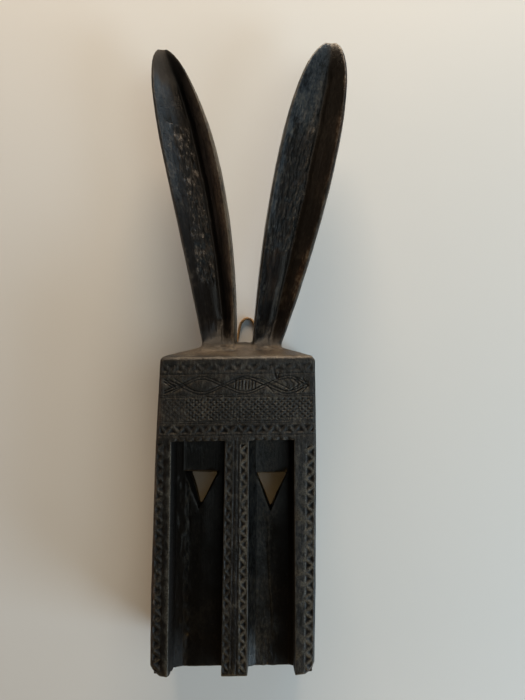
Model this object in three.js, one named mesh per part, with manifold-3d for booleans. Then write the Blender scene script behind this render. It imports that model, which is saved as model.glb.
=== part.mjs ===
// A carved wooden hare mask of the Dogon, lying on its back rim with its face up, in millimetres.
// x runs across the face, y from the chin to the ears, z from the back rim to the face.
// The head is one hollow block with two deep channels for the cheeks, and is one piece with the ears.

import * as THREE from "three";
import { mergeVertices } from "three/addons/utils/BufferGeometryUtils.js";
import Module from "manifold-3d";

const wasm = await Module();
wasm.setup();

// The head: a block that widens a little towards the chin, with its crosswise lines aslant
const DEPTH = 125;
const SLANT = Math.tan(THREE.MathUtils.degToRad(1.7));
const EAVE_Y = 281.5;
const RIDGE_Y = 295;
const ROOF_BACK_Y = 285;
const RIDGE_Z = 60;
const EDGE_WEAR = 1.6;
const ROOF_BUMPS = [{ x: 41, drop: 5.2 }, { x: 4, drop: 0 }, { x: -36, drop: 5.6 }];
const EAVE_CORNER = 3;
const LEFT_SIDE = { eave: -68.2, brow: -71.2, cheek: -73.2, chin: -72.4 };
const RIGHT_SIDE = { eave: 68.6, brow: 70.9, cheek: 72.4, chin: 71.8 };
const BROW_Y = 198;
const CHEEK_Y = 66;
const BELOW = -60;
const PAST = 9;
const HALF_SPAN = 90;

// The lower end is cut aslant, so that the head is longest at its back rim
const CHIN_Y = 1;
const PANEL_END_Y = -14;
const BACK_END_Y = -21;

// The channels beside the nose, and the thin panel behind them that holds the eyes
const LINTEL_Y = 207;
const PANEL_FRONT_Z = 82;
const PANEL_BACK_Z = 68;
const LEFT_CHANNEL = { outer: [-57.2, -57.3], inner: [-9.8, -10.1] };
const RIGHT_CHANNEL = { inner: [11.4, 13.6], outer: [51.2, 56.6] };
const CORNER_FILL = 6;

// The hollow for the wearer's head, open behind and below
const WALL = 12;
const CROWN_Y = 263;
const BROW_HOLLOW_Z = 106;
const BROW_HOLLOW_FLOOR_Y = 220;
const BROW_HOLLOW_HALF = 50;
const CROWN_ROUND = [{ inward: 1, down: 12 }, { inward: 9, down: 2 }, { inward: 20, down: 0 }];

// The eyes: triangles that point down and narrow towards the back
const EYE_TOP_Y = 171.5;
const LEFT_EYE = {
  front: [[-51.3, EYE_TOP_Y - 0.3], [-16.9, EYE_TOP_Y], [-36.6, 134.5]],
  back: [[-44.5, EYE_TOP_Y - 4.5], [-20.4, EYE_TOP_Y - 4.5], [-35.6, 137]],
};
const RIGHT_EYE = {
  front: [[17.5, EYE_TOP_Y - 1.5], [47.6, EYE_TOP_Y], [32, 133.5]],
  back: [[18.9, EYE_TOP_Y - 4], [46.9, EYE_TOP_Y - 3.5], [32.2, 135.5]],
};

// The ears: long leaves with rounded backs, each scooped to a gutter in front
const LEFT_EAR = {
  base: -20, baseWidth: 33.5, tip: -83.6, tipY: 588.4, bow: 31, widest: 55.8, fullness: 2.1, valley: 0.62,
};
const RIGHT_EAR = {
  base: 26.2, baseWidth: 29, tip: 86, tipY: 597.6, bow: 2, widest: 59.7, fullness: 2.7, valley: 0.57,
};
const EAR_FOOT_Y = 276;
const EAR_START_Y = 293;
const EAR_WIDEST_AT = 0.59;
const EAR_RIM_Z = { base: 85, tip: 66 };
const EAR_THICK = { base: 41, tip: 27 };
const EAR_SCOOP = 16;
const EAR_STATIONS = 20;
const EAR_END = 0.995;

// Chip carving: pits left between raised lines, and cut lines
const COLUMN_PITCH = 11.8;
const COLUMN_TOP_Y = 204;
const COLUMN_END_Y = 4;
const COLUMNS = [
  { top: -70.2, end: -71.4, width: 8.6 }, { top: -8.9, end: -9.1, width: 6.3 },
  { top: 3.6, end: 5.2, width: 6.7 }, { top: 61.4, end: 62.9, width: 8 },
];
const RIDGE_LINE = 1.7;
const CHIP_DEPTH = 1.9;
const UPPER_TEETH = { low: 267.6, high: 275.6, pitch: 15, from: -66, to: 66 };
const LOWER_TEETH = { low: 213.2, high: 221.4, pitch: 11.7, from: -67.5, to: 68 };
const EDGE_TEETH = { pitch: 7.4, height: 3.6, depth: 1.5, fill: 0.84, spans: [[-55.5, -12], [13, 50]] };
const NET = {
  low: 225.4, high: 244.8, from: -67.6, to: 67.8, across: 5.2, up: 4.4, ridge: 0.45, depth: 1.3,
};
const NET_WORN = { before: -46, depth: 0.7 };
const STRAND = { y: 255.9, half: 6.9, gap: 2.3, start: -65, knots: [-50, -12, 26, 63.5], steps: 21 };
const HATCH = { lines: 7, from: -1.5, apart: 2.9, half: 3.4 };
const CHEVRONS = [{ tip: 45, half: 4.2 }, { tip: 50, half: 3.5 }, { tip: 55, half: 2.6 }];
const CUT = { width: 1.3, depth: 0.8 };
const BOLD_CUT = { width: 1.7, depth: 1.05 };
const NOSE_CUT = { width: 1.8, depth: 1.4 };
const NOTCH_CUT = { width: 2.2, depth: 1.4 };
const NOTCH_SPAN = { low: 260, high: 274 };
const NOTCH = [[30.8, 35.2], [38.6, 35.6]];
const NOSE_GROOVES = [[-1.2, -1.7], [2, 3.2]];
const BAND_CUTS = [265.9, 247.4, 245.7, 224.2, 222.4, 211.9];

// The hanging cord: a loop whose two ends go into holes bored in the crown, near the back rim
const CORD_RADIUS = 1.5;
const CORD_SIDES = 8;
const CORD_STEPS = 26;
const HOLE_RADIUS = 2.2;
const HOLE_Z = 5.2;
const HOLE_END_Y = 271.4;
const CORD_ROUTE = [
  [-6.6, 272, 5.2], [-6.6, 278, 5.2], [-6.6, 284, 5.2], [-6.5, 288.5, 5], [-6.2, 293, 4], [-5.7, 297.5, 2.6],
  [-5, 302, 1.8], [-4.3, 307, 1.6], [-3.3, 312, 1.6], [-1.7, 316.8, 1.6], [1.5, 320.3, 1.6],
  [5.7, 321.4, 1.6], [9.7, 319.7, 1.6], [12.3, 316, 1.6], [13.8, 311, 1.6], [15.2, 306, 1.6],
  [16.5, 301.5, 1.8], [17.8, 297, 2.6], [19, 292.7, 4], [20, 288.5, 5], [20.4, 284, 5.2],
  [20.5, 278, 5.2], [20.5, 272, 5.2],
];

const lerp = THREE.MathUtils.lerp;

function solid(geometry) {
  const bare = geometry.clone();
  bare.deleteAttribute("normal");
  bare.deleteAttribute("uv");
  const merged = mergeVertices(bare, 1e-5);
  return new wasm.Manifold(new wasm.Mesh({
    numProp: 3,
    vertProperties: new Float32Array(merged.attributes.position.array),
    triVerts: new Uint32Array(merged.index.array),
  }));
}

function geometryOf(manifold) {
  const mesh = manifold.getMesh();
  const geometry = new THREE.BufferGeometry();
  geometry.setAttribute("position", new THREE.BufferAttribute(new Float32Array(mesh.vertProperties), 3));
  geometry.setIndex(new THREE.BufferAttribute(new Uint32Array(mesh.triVerts), 1));
  geometry.computeVertexNormals();
  return geometry;
}

// Deterministic unevenness of hand work, from -0.5 to 0.5
function waver(seed) {
  const value = Math.sin(seed * 12.9898 + 4.1) * 43758.5453;
  return value - Math.floor(value) - 0.5;
}

// An outline in x and y, drawn out along z
function drawnAlongZ(points, low, high) {
  const shape = new THREE.Shape(points.map(([x, y]) => new THREE.Vector2(x, y)));
  const geometry = new THREE.ExtrudeGeometry(shape, { depth: high - low, bevelEnabled: false });
  geometry.translate(0, 0, low);
  return geometry;
}

// A side profile given as z and y, drawn out along x and sheared by the slant
function drawnAlongX(points, low, high) {
  const geometry = drawnAlongZ(points, low, high);
  geometry.rotateY(-Math.PI / 2);
  geometry.applyMatrix4(new THREE.Matrix4().makeScale(-1, 1, 1));
  flipFaces(geometry);
  geometry.applyMatrix4(new THREE.Matrix4().set(1, 0, 0, 0, SLANT, 1, 0, 0, 0, 0, 1, 0, 0, 0, 0, 1));
  return geometry;
}

// A cross-section given as x and z, drawn out along y
function drawnAlongY(points, low, high) {
  const geometry = drawnAlongZ(points.map(([x, z]) => [x, -z]), low, high);
  geometry.rotateX(-Math.PI / 2);
  return geometry;
}

function flipFaces(geometry) {
  const position = geometry.attributes.position;
  for (let i = 0; i < position.count; i += 3) {
    const [x, y, z] = [position.getX(i), position.getY(i), position.getZ(i)];
    position.setXYZ(i, position.getX(i + 2), position.getY(i + 2), position.getZ(i + 2));
    position.setXYZ(i + 2, x, y, z);
  }
}

// A tapered block between two like outlines in x and y, drawn past both by a margin
function taperedBlock(front, frontZ, back, backZ, margin) {
  const geometry = new THREE.CylinderGeometry(1, 1, 1, front.length, 1);
  const reach = margin / (frontZ - backZ);
  shapeRings(geometry, (corner, row) => {
    const share = row === 0 ? -reach : 1 + reach;
    const [x, y] = [0, 1].map((axis) => lerp(front[corner][axis], back[corner][axis], share));
    return [x, y, lerp(frontZ, backZ, share)];
  }, 1);
  return geometry;
}

// Moves the rings of a cylinder's corners to places given by corner and row, row 0 at its top
function shapeRings(geometry, place, rows) {
  const position = geometry.attributes.position;
  const corners = geometry.parameters.radialSegments;
  const height = geometry.parameters.height;
  for (let i = 0; i < position.count; i += 1) {
    const [x, y, z] = [position.getX(i), position.getY(i), position.getZ(i)];
    const row = Math.round((0.5 - y / height) * rows);
    if (Math.hypot(x, z) < 1e-6) {
      const ring = Array.from({ length: corners }, (_, corner) => place(corner, row));
      const middle = [0, 1, 2].map((axis) => ring.reduce((sum, point) => sum + point[axis], 0) / corners);
      position.setXYZ(i, ...middle);
    } else {
      const turn = Math.atan2(x, z) / (2 * Math.PI);
      const corner = ((Math.round(turn * corners) % corners) + corners) % corners;
      position.setXYZ(i, ...place(corner, row));
    }
  }
}

// A pit whose flat sides run from its corners on the face down to one deepest point
function pit(corners, deepest, depth) {
  const lift = 0.5;
  const grow = 1 + lift / depth;
  const geometry = new THREE.CylinderGeometry(1, 0, 1, corners.length, 1);
  shapeRings(geometry, (corner, row) => {
    if (row === 1) {
      return [...deepest, DEPTH - depth];
    }
    const [x, y] = [0, 1].map((axis) => lerp(deepest[axis], corners[corner][axis], grow));
    return [x, y, DEPTH + lift];
  }, 1);
  return geometry;
}

// Corners in the order that a pit's ring runs, anticlockwise when seen from the face
function inRingOrder(corners) {
  const area = corners.reduce((sum, [x, y], i) => {
    const [nextX, nextY] = corners[(i + 1) % corners.length];
    return sum + x * nextY - nextX * y;
  }, 0);
  return area < 0 ? [...corners].reverse() : corners;
}

function middleOf(corners) {
  return [0, 1].map((axis) => corners.reduce((sum, corner) => sum + corner[axis], 0) / corners.length);
}

// The head's outer block: the face's outline drawn back to the rim, cut by the profile of its side
function headBlock() {
  const outline = [
    [LEFT_SIDE.chin, BELOW], [RIGHT_SIDE.chin, BELOW], [RIGHT_SIDE.cheek, CHEEK_Y],
    [RIGHT_SIDE.brow, BROW_Y],
    [RIGHT_SIDE.eave, EAVE_Y - 2], [RIGHT_SIDE.eave - EAVE_CORNER, EAVE_Y + 1.5],
    ...ROOF_BUMPS.map(({ x, drop }) => [x, RIDGE_Y - drop]),
    [LEFT_SIDE.eave + EAVE_CORNER, EAVE_Y - 0.5], [LEFT_SIDE.eave, EAVE_Y - 4],
    [LEFT_SIDE.brow, BROW_Y], [LEFT_SIDE.cheek, CHEEK_Y],
  ];
  const shape = new THREE.Shape(outline.map(([x, y]) => new THREE.Vector2(x, y)));
  const front = new THREE.ExtrudeGeometry(shape, {
    depth: DEPTH - EDGE_WEAR, bevelEnabled: true, bevelSegments: 1,
    bevelThickness: EDGE_WEAR, bevelSize: EDGE_WEAR, bevelOffset: -EDGE_WEAR,
  });
  const chin = [[PANEL_FRONT_Z, PANEL_END_Y], [DEPTH - 1, CHIN_Y], [DEPTH + PAST, CHIN_Y + PAST]];
  const wornEave = [[DEPTH, EAVE_Y - 2.6], [DEPTH - 1.2, EAVE_Y - 0.8], [DEPTH - 4, EAVE_Y + 0.6]];
  const roof = [[DEPTH - 26, EAVE_Y + 4.5], [RIDGE_Z + 6, RIDGE_Y + 1], [RIDGE_Z - 6, RIDGE_Y + 1]];
  const side = drawnAlongX([
    [-PAST, BACK_END_Y], [PANEL_BACK_Z - 8, BACK_END_Y], ...chin,
    [DEPTH + PAST, EAVE_Y - 12], ...wornEave, ...roof, [-PAST, ROOF_BACK_Y - 1],
  ], -HALF_SPAN, HALF_SPAN);
  const inFrontOfRim = new THREE.BoxGeometry(HALF_SPAN * 2, 800, DEPTH * 2);
  inFrontOfRim.translate(0, 0, DEPTH);
  return solid(front).intersect(solid(side)).intersect(solid(inFrontOfRim));
}

// The hollow behind the face: deep under the brow, shallow behind the panel of the eyes
function hollow() {
  const [left, right] = [LEFT_SIDE, RIGHT_SIDE].map((side, i) => {
    const inward = i === 0 ? 1 : -1;
    const outside = [[side.chin, BELOW], [side.cheek, CHEEK_Y], [side.brow, BROW_Y]];
    return {
      walls: outside.map(([x, y]) => [x + inward * WALL, y]),
      crown: CROWN_ROUND.map((turn) => [side.eave + inward * (WALL + turn.inward), CROWN_Y - turn.down]),
    };
  });
  const inner = [...right.walls, ...right.crown, ...left.crown.toReversed(), ...left.walls.toReversed()];
  const side = [
    [-PAST, BELOW], [PANEL_BACK_Z, BELOW], [PANEL_BACK_Z, BROW_HOLLOW_FLOOR_Y - 19],
    [PANEL_BACK_Z + 12, BROW_HOLLOW_FLOOR_Y - 2], [BROW_HOLLOW_Z - 4, BROW_HOLLOW_FLOOR_Y + 3],
    [BROW_HOLLOW_Z, BROW_HOLLOW_FLOOR_Y + 11], [BROW_HOLLOW_Z, CROWN_Y - 14],
    [BROW_HOLLOW_Z - 9, CROWN_Y - 4], [PANEL_FRONT_Z, CROWN_Y + 3], [-PAST, CROWN_Y + 3],
  ];
  const section = [
    [-HALF_SPAN, -PAST], [HALF_SPAN, -PAST], [HALF_SPAN, PANEL_BACK_Z - 12],
    [RIGHT_SIDE.chin - WALL - 4, PANEL_BACK_Z], [BROW_HOLLOW_HALF + 3, PANEL_FRONT_Z],
    [BROW_HOLLOW_HALF - 6, BROW_HOLLOW_Z + 1], [6 - BROW_HOLLOW_HALF, BROW_HOLLOW_Z + 1],
    [-BROW_HOLLOW_HALF - 3, PANEL_FRONT_Z], [LEFT_SIDE.chin + WALL + 4, PANEL_BACK_Z],
    [-HALF_SPAN, PANEL_BACK_Z - 12],
  ];
  return solid(drawnAlongZ(inner, -PAST, DEPTH - 10))
    .intersect(solid(drawnAlongX(side, -HALF_SPAN, HALF_SPAN)))
    .intersect(solid(drawnAlongY(section, BELOW - 10, RIDGE_Y)));
}

// One channel, from the lintel down past the chin, with the wood left in its back corners
function channel(left, right) {
  const reach = 12;
  const top = 4;
  const geometry = new THREE.CylinderGeometry(1, 1, 1, 8, top);
  shapeRings(geometry, (corner, row) => {
    const down = row / top;
    const [a, b] = [lerp(left[0], left[1], down), lerp(right[0], right[1], down)];
    const uneven = row === 0 ? 0 : waver(row * 7 + left[0]) * 2;
    const crease = lerp(a, b, 0.52) + uneven;
    const section = [
      [lerp(a, b, 0.5), DEPTH + reach], [b, DEPTH + reach],
      [b, PANEL_FRONT_Z + CORNER_FILL * 0.7], [b - CORNER_FILL * 0.6, PANEL_FRONT_Z - 0.4],
      [crease, PANEL_FRONT_Z + 0.8], [a + CORNER_FILL * 1.2 + uneven, PANEL_FRONT_Z - 0.2],
      [a, PANEL_FRONT_Z + CORNER_FILL], [a, DEPTH + reach],
    ];
    const [x, z] = section[corner];
    return [x, lerp(LINTEL_Y, BELOW, down) + SLANT * x, z];
  }, top);
  return geometry;
}

// One ear's cross-section at a station, from the valley round by its right rim and back
function earSection(corner, ear, station) {
  const { y, centre, half, front, thick, scoop } = station;
  const backSteps = 8;
  const valleyX = centre + half * (2 * ear.valley - 1);
  const widestZ = front - thick * 0.5;
  const slope = (rim, share, deep) => [lerp(valleyX, centre + rim * half, share), front - scoop * deep];
  const fixed = {
    0: [valleyX, front - scoop],
    1: slope(0.87, 0.5, 0.56),
    2: [centre + 0.87 * half, front],
    3: [centre + 0.95 * half, front - 0.07 * thick],
    4: [centre + half, widestZ],
    12: [centre - half, widestZ],
    13: [centre - 0.95 * half, front - 0.07 * thick],
    14: [centre - 0.87 * half, front],
    15: slope(-0.87, 0.72, 0.4),
    16: slope(-0.87, 0.36, 0.78),
  };
  if (fixed[corner]) {
    const [x, z] = fixed[corner];
    return [x, y, z];
  }
  const turn = ((corner - 4) * Math.PI) / backSteps;
  const round = 0.85;
  const across = Math.sign(Math.cos(turn)) * Math.abs(Math.cos(turn)) ** round;
  return [centre + half * across, y, widestZ - thick * 0.5 * Math.sin(turn) ** round];
}

// The stations of one ear: its foot spreads forward on the roof, its leaf swells and closes
function earStations(ear) {
  const foot = [[EAR_FOOT_Y, 104, 1.06], [EAR_START_Y - 9, 102, 1.05], [EAR_START_Y - 4, 94, 1.02]];
  const stations = foot.map(([y, front, spread]) => ({
    y, centre: ear.base, half: (ear.baseWidth / 2) * spread, front,
    thick: front - EAR_RIM_Z.base + EAR_THICK.base, scoop: 0,
  }));
  const places = [0, 0.018];
  for (let step = 1; step <= EAR_STATIONS; step += 1) {
    places.push(EAR_END * Math.sin((Math.PI / 2) * (step / EAR_STATIONS)));
  }
  for (const t of places) {
    const swell = Math.max(0, 1 - t / EAR_WIDEST_AT);
    const close = Math.max(0, (t - EAR_WIDEST_AT) / (1 - EAR_WIDEST_AT));
    const width = t < EAR_WIDEST_AT
      ? ear.widest - (ear.widest - ear.baseWidth) * swell ** 1.7
      : ear.widest * Math.sqrt(1 - close ** ear.fullness);
    const full = lerp(EAR_THICK.base, EAR_THICK.tip, t);
    const thick = full * Math.sqrt(1 - close ** 5);
    stations.push({
      y: lerp(EAR_START_Y, ear.tipY, t),
      centre: lerp(ear.base, ear.tip, t) + ear.bow * (t - t * t),
      half: width / 2,
      front: lerp(EAR_RIM_Z.base, EAR_RIM_Z.tip, t) - (full - thick) / 2,
      thick,
      scoop: EAR_SCOOP * Math.min(1, t / 0.05) ** 0.6 * (1 - close ** 4),
    });
  }
  return stations.reverse();
}

function ear(shape) {
  const stations = earStations(shape);
  const rows = stations.length - 1;
  const geometry = new THREE.CylinderGeometry(1, 1, 1, 17, rows);
  shapeRings(geometry, (corner, row) => earSection(corner, shape, stations[row]), rows);
  return solid(geometry);
}

// Two rows of three-sided pits that leave a raised zigzag between them.
// Along and across are the directions of the band; place turns them to x and y on the face.
function zigzagPits(from, to, low, high, pitch, place, seed) {
  const pits = [];
  const count = Math.round((to - from) / pitch);
  const step = (to - from) / count;
  const lean = Math.atan2(high - low, step / 2);
  const baseCut = RIDGE_LINE / 2 / Math.sin(lean);
  const peakCut = RIDGE_LINE / 2 / Math.cos(lean);
  for (let i = 0; i < count * 2 + 1; i += 1) {
    const up = i % 2 === 0;
    const middle = from + (i * step) / 2 + waver(seed + i) * 0.9;
    const base = up ? low + 0.4 : high - 0.4;
    const peak = up ? high - peakCut : low + peakCut;
    const half = step / 2 - baseCut + waver(seed + i * 3) * 0.5;
    const start = Math.max(from, middle - half);
    const end = Math.min(to, middle + half);
    if (end - start > step * 0.3) {
      const corners = inRingOrder([[start, base], [end, base], [middle, peak]].map(([u, v]) => place(u, v)));
      pits.push(pit(corners, middleOf(corners), CHIP_DEPTH + waver(seed + i * 5) * 0.4));
    }
  }
  return pits;
}

const onFace = (x, y) => [x, y + SLANT * x];

// The four carved columns: one on each pillar and two on the nose
function columnPits() {
  return COLUMNS.flatMap(({ top, end, width }, i) => {
    const place = (along, across) => [lerp(top, end, (COLUMN_TOP_Y - along) / COLUMN_TOP_Y) + across, along];
    return zigzagPits(COLUMN_END_Y, COLUMN_TOP_Y, 0, width, COLUMN_PITCH, place, 11 + i * 50);
  });
}

// The rows of teeth across the brow: one under the eave, one at its foot, and small ones on the lintels
function bandPits() {
  const bands = [UPPER_TEETH, LOWER_TEETH].flatMap(({ from, to, low, high, pitch }, i) =>
    zigzagPits(from, to, low, high, pitch, onFace, 300 + i * 100));
  const edgeTeeth = EDGE_TEETH.spans.flatMap(([from, to], side) => {
    const count = Math.round((to - from) / EDGE_TEETH.pitch);
    return Array.from({ length: count }, (_, i) => {
      const middle = lerp(from, to, (i + 0.5) / count) + waver(side * 40 + i);
      const half = (EDGE_TEETH.pitch * EDGE_TEETH.fill) / 2;
      const foot = LINTEL_Y - 0.6;
      const corners = [[middle - half, foot], [middle + half, foot], [middle, LINTEL_Y + EDGE_TEETH.height]];
      const onBrow = inRingOrder(corners.map(([x, y]) => onFace(x, y)));
      return pit(onBrow, onFace(middle, LINTEL_Y + 0.6), EDGE_TEETH.depth);
    });
  });
  return [...bands, ...edgeTeeth];
}

// The net over the middle of the brow: four-sided pits between crossing raised lines
function netPits() {
  const pits = [];
  const rows = Math.floor(((NET.high - NET.low) / NET.up) * 2);
  const columns = Math.floor((NET.to - NET.from) / NET.across);
  const half = NET.across / 2 - NET.ridge;
  const rise = NET.up / 2 - NET.ridge;
  for (let row = 0; row <= rows; row += 1) {
    const offset = row % 2 ? 0 : NET.across / 2;
    const y = NET.low + (row * NET.up) / 2;
    const top = Math.min(y + rise, NET.high);
    const bottom = Math.max(y - rise, NET.low);
    for (let column = 0; column < columns; column += 1) {
      const x = NET.from + (column + 0.5) * NET.across + offset + waver(row * 31 + column) * 0.3;
      const corners = [[x - half, y], [x, bottom], [x + half, y], [x, top]].map(([u, v]) => onFace(u, v));
      const depth = x < NET_WORN.before ? NET_WORN.depth : NET.depth;
      if (x + half < NET.to) {
        pits.push(pit(inRingOrder(corners), middleOf(corners), depth));
      }
    }
  }
  return pits;
}

// A cut line of V section along a curve on the face
function cutLine(points, cut = CUT, steps = points.length - 1) {
  const route = points.map(([x, y]) => new THREE.Vector3(...onFace(x, y), DEPTH));
  const curve = new THREE.CatmullRomCurve3(route);
  const section = new THREE.Shape([
    new THREE.Vector2(-cut.depth, 0), new THREE.Vector2(0, -cut.width / 2),
    new THREE.Vector2(cut.depth, 0), new THREE.Vector2(0, cut.width / 2),
  ]);
  return new THREE.ExtrudeGeometry(section, { steps, extrudePath: curve, bevelEnabled: false });
}

// One line of the brow's crossing strands: it swings up and down between the knots
function strandLine(sign, offset) {
  const points = [[STRAND.start, STRAND.y + offset - sign * STRAND.half * 0.75]];
  STRAND.knots.forEach((knot, i) => {
    points.push([knot, STRAND.y + offset]);
    if (i < STRAND.knots.length - 1) {
      const swing = (i % 2 === 0 ? sign : -sign) * STRAND.half;
      points.push([(knot + STRAND.knots[i + 1]) / 2, STRAND.y + offset + swing]);
    }
  });
  return cutLine(points, BOLD_CUT, STRAND.steps);
}

// The brow's band of two crossing strands, each two lines wide, with different fillings
function strandCuts() {
  const strands = [1, -1].flatMap((sign) =>
    [1, -1].map((side) => strandLine(sign, (side * STRAND.gap) / 2)));
  const hatch = Array.from({ length: HATCH.lines }, (_, i) => {
    const x = HATCH.from + i * HATCH.apart;
    return cutLine([[x, STRAND.y - HATCH.half], [x + 0.4, STRAND.y + HATCH.half]]);
  });
  const chevrons = CHEVRONS.map(({ tip, half }) =>
    cutLine([[tip - half, STRAND.y + half], [tip, STRAND.y], [tip - half, STRAND.y - half]], CUT, 4));
  return [...strands, ...hatch, ...chevrons];
}

// The lines between the brow's bands, the two grooves of the nose and a long narrow V on the brow
function faceLines() {
  const bands = BAND_CUTS.map((y) => cutLine([[LEFT_SIDE.cheek - 3, y], [RIGHT_SIDE.cheek + 3, y]]));
  const nose = NOSE_GROOVES.map(([top, low]) =>
    cutLine([[top, COLUMN_TOP_Y + 6], [low, PANEL_END_Y + 2]], NOSE_CUT));
  const notch = NOTCH.map(([top, low]) =>
    cutLine([[top, NOTCH_SPAN.high], [low, NOTCH_SPAN.low]], NOTCH_CUT));
  return [...bands, ...nose, ...notch];
}

// Wood broken or worn away at a corner: all that lies past a plane a little way inside it
function chip(corner, outward, cut) {
  const size = 30;
  const normal = new THREE.Vector3(...outward).normalize();
  const geometry = new THREE.BoxGeometry(size, size, size);
  geometry.translate(0, 0, size / 2 - cut);
  geometry.applyQuaternion(new THREE.Quaternion().setFromUnitVectors(new THREE.Vector3(0, 0, 1), normal));
  geometry.translate(...corner);
  return geometry;
}

function chips() {
  return [
    chip([LEFT_SIDE.chin, CHIN_Y - 2, DEPTH], [-0.62, -0.62, 0.48], 6.2),
    chip([LEFT_SIDE.chin + 8, CHIN_Y - 2, DEPTH], [-0.2, -0.78, 0.6], 2),
    chip([RIGHT_SIDE.chin, CHIN_Y + 2, DEPTH], [0.66, -0.6, 0.45], 6.4),
    chip([RIGHT_SIDE.chin - 8, CHIN_Y + 2, DEPTH], [0.2, -0.8, 0.55], 1.8),
    chip([LEFT_SIDE.eave, EAVE_Y - 2, DEPTH], [-0.6, 0.5, 0.6], 2.6),
    chip([RIGHT_SIDE.eave, EAVE_Y + 2, DEPTH], [0.6, 0.5, 0.6], 1.6),
  ];
}

function cordHoles() {
  return [CORD_ROUTE[1], CORD_ROUTE[CORD_ROUTE.length - 2]].map(([x]) => {
    const length = 40;
    const geometry = new THREE.CylinderGeometry(HOLE_RADIUS, HOLE_RADIUS, length, 10);
    geometry.translate(x, HOLE_END_Y + length / 2, HOLE_Z);
    return geometry;
  });
}

function maskCarving() {
  const channels = [
    channel(LEFT_CHANNEL.outer, LEFT_CHANNEL.inner), channel(RIGHT_CHANNEL.inner, RIGHT_CHANNEL.outer),
  ];
  const eyes = [LEFT_EYE, RIGHT_EYE].map(({ front, back }) =>
    taperedBlock(inRingOrder(front), PANEL_FRONT_Z, inRingOrder(back), PANEL_BACK_Z, 3));
  const carving = [...columnPits(), ...bandPits(), ...netPits(), ...strandCuts(), ...faceLines()];
  const cuts = [...channels, ...eyes, ...carving, ...chips(), ...cordHoles()];
  const block = headBlock().add(ear(LEFT_EAR)).add(ear(RIGHT_EAR)).subtract(hollow());
  return geometryOf(cuts.reduce((wood, cut) => wood.subtract(solid(cut)), block));
}

function hangingCord() {
  const section = new THREE.Shape(Array.from({ length: CORD_SIDES }, (_, i) => {
    const turn = (i * 2 * Math.PI) / CORD_SIDES;
    return new THREE.Vector2(CORD_RADIUS * Math.cos(turn), CORD_RADIUS * Math.sin(turn));
  }));
  const route = new THREE.CatmullRomCurve3(CORD_ROUTE.map((point) => new THREE.Vector3(...point)));
  return new THREE.ExtrudeGeometry(section, { steps: CORD_STEPS, extrudePath: route, bevelEnabled: false });
}

// Dark hardwood blackened by soot, oil and handling
const patinatedWood = new THREE.MeshStandardMaterial({ color: 0x2b2620, roughness: 0.55, metalness: 0 });

// Twisted plant-fibre cord
const plantFibre = new THREE.MeshStandardMaterial({ color: 0xa3763f, roughness: 0.85, metalness: 0 });

const mask = new THREE.Group();

const carving = new THREE.Mesh(maskCarving(), patinatedWood);
carving.name = "mask_carving";
mask.add(carving);

const cord = new THREE.Mesh(hangingCord(), plantFibre);
cord.name = "hanging_cord";
mask.add(cord);

// The origin lies on the back rim's plane, under the middle of the carving's length and width
carving.geometry.computeBoundingBox();
const centre = carving.geometry.boundingBox.getCenter(new THREE.Vector3());
mask.position.set(-centre.x, -centre.y, 0);

export default mask;
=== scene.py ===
import itertools
import math

import bmesh
import bpy
import numpy as np
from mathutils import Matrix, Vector


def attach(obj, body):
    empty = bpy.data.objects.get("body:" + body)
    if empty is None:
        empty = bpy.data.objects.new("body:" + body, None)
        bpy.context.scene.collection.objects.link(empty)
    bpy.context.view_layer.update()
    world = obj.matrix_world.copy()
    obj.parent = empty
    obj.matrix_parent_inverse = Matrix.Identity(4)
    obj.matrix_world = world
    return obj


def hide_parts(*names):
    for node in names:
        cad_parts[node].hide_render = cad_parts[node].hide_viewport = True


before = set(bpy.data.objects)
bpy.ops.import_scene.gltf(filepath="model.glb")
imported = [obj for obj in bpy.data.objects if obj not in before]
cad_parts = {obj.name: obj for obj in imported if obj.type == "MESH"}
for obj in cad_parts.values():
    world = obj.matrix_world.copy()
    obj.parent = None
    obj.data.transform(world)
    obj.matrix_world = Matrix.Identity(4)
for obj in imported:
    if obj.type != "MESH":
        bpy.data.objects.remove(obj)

bl_info = {
    "name": "Carved hare mask",
    "version": (1, 0, 0),
    "blender": (4, 5, 0),
    "location": "3D View > Sidebar > Hare mask",
    "description": "Dresses the carved hare mask and its hanging cord, and lights them",
    "category": "Object",
}

MM = 0.001

PLAIN_WOOD_WEIGHT = 1.0
CARVED_FACE_WEIGHT = 0.3
WEIGHT_FACTOR = 1e-5

# The carver's frame in the row frame: x across the face, y from the chin, z from the back rim, in mm
HEAD_SHIFT = np.array([-4.637, -286.461, 0.0])

# The head, in the carver's frame, as the solid has it
FACE_Z = 125.0
PANEL_Z = 82.0
LINTEL_Y = 207.0
EYE_TOP_Y = 171.5
EAVE_Y = 281.5
ROOF_Y = 290.0
HALF_WIDTH = 72.0
PILLAR_EDGE_X = -57.2
SLANT = math.tan(math.radians(1.7))
# The face's ornament is cut less deep than this
CHIP_DEPTH = 3
# How far the front of the chin is drawn down
CHIN_DROP = 2

# The brow's bands of chip carving: from, to, and how much of the cuts' depth wear has left
WORN_BANDS = [(266.6, 276.6, 0.45), (224.6, 245.6, 0.85), (212.4, 222.2, 0.8)]
NET = {"low": 225.4, "high": 244.8, "from": -67.6, "across": 5.2, "up": 4.4}

# The columns of zigzags: left edge at the top and at the end, width, and how light the ridges are painted:
# rubbed wear, and painted light that makes the right-hand columns lighter, as the light falls from the right
COLUMNS = [(-70.2, -71.4, 8.6, 0.2), (-8.9, -9.1, 6.3, 0.25), (3.6, 5.2, 6.7, 1.1), (61.4, 62.9, 8.0, 1.1)]
COLUMN_SPAN = (4, 204)
NOSE_GROOVES = (-3.4, 5.2)

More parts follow.
